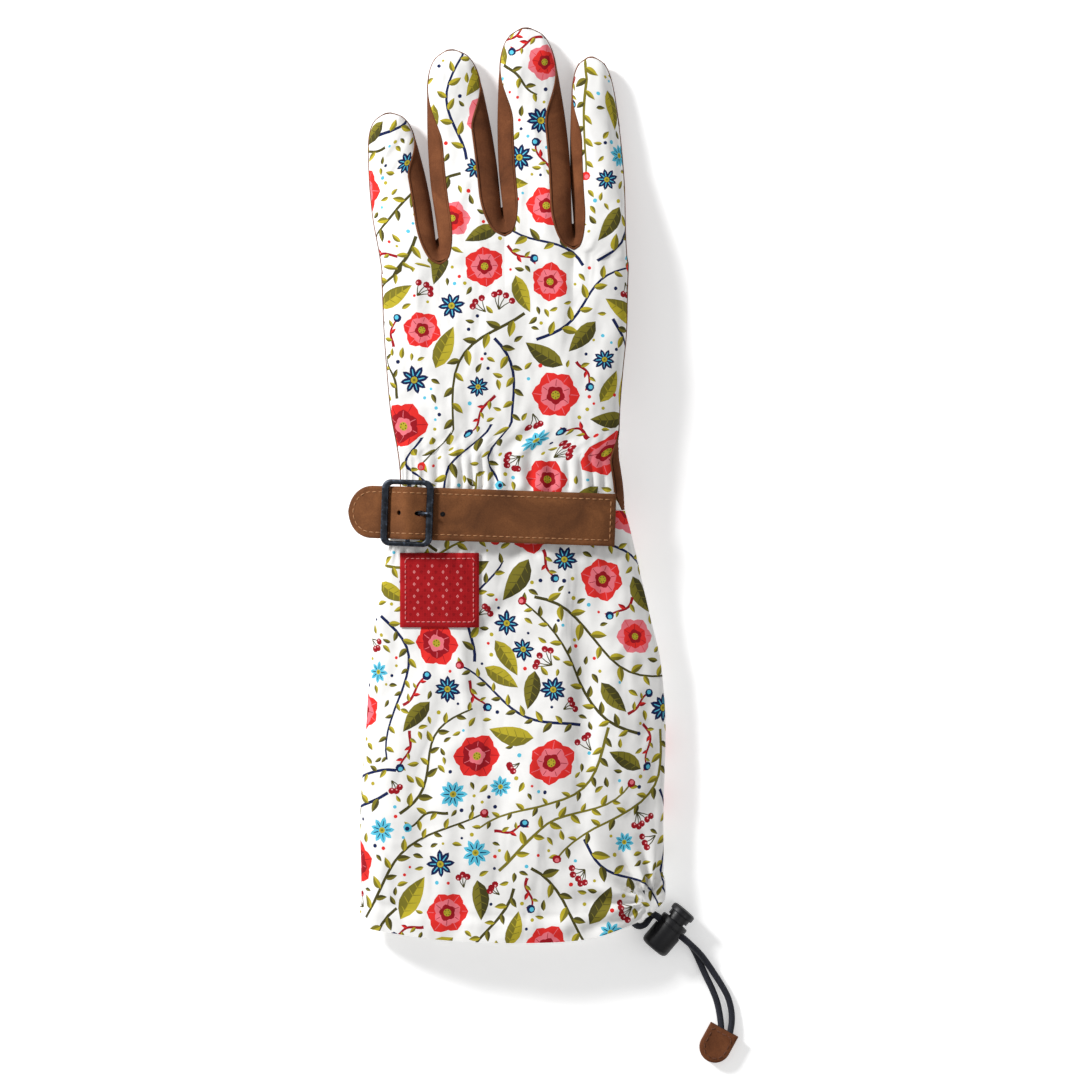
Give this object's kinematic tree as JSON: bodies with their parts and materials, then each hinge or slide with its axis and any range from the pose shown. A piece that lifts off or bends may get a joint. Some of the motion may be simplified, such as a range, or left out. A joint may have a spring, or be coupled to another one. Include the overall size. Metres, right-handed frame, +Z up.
{
  "type": "rose pruning gauntlet",
  "caption": "Left-hand gardening gauntlet lying palm down: cloth back and long flared cuff, suede palm, wrist strap with buckle, hem drawcord with a spring lock.",
  "frame": {"origin": "on the surface it lies on, under the middle of the gauntlet without its drawcord", "axes": "+Y from the cuff to the fingertips, +X to the thumb's side, +Z up out of the back of the hand"},
  "size_m": [0.1698, 0.4481, 0.0309],
  "materials": {
    "printed_cloth": "matt, printed",
    "suede": "napped",
    "strap_leather": "napped",
    "gunmetal": "worn black",
    "woven_label": "woven",
    "lock_plastic": "moulded",
    "braided_cord": "braided"
  },
  "bodies": {
    "glove": {"cuff_back": "printed_cloth", "cuff_under": "printed_cloth", "hand_back": "printed_cloth", "palm": "suede", "thumb_front": "suede", "thumb_back": "printed_cloth", "fore_tip_patch": "suede", "side_little_ring": "suede", "side_ring_middle": "suede", "side_middle_fore": "suede", "strap": "strap_leather", "buckle_frame": "gunmetal", "buckle_prong": "gunmetal", "buckle_holder": "strap_leather", "label": "woven_label", "lock_barrel": "lock_plastic", "cord_tab": "strap_leather", "drawcord_lower": "braided_cord", "drawcord_upper": "braided_cord"},
    "plunger": {"lock_plunger": "lock_plastic"}
  },
  "joints": [
    {"name": "lock_press", "type": "slide", "parent": "glove", "child": "plunger", "axis": [0.6427, 0.7662, 0], "range_m": [-0.003, 0], "stiffness_N_per_m": 500, "springref_m": 0.002}
  ]
}
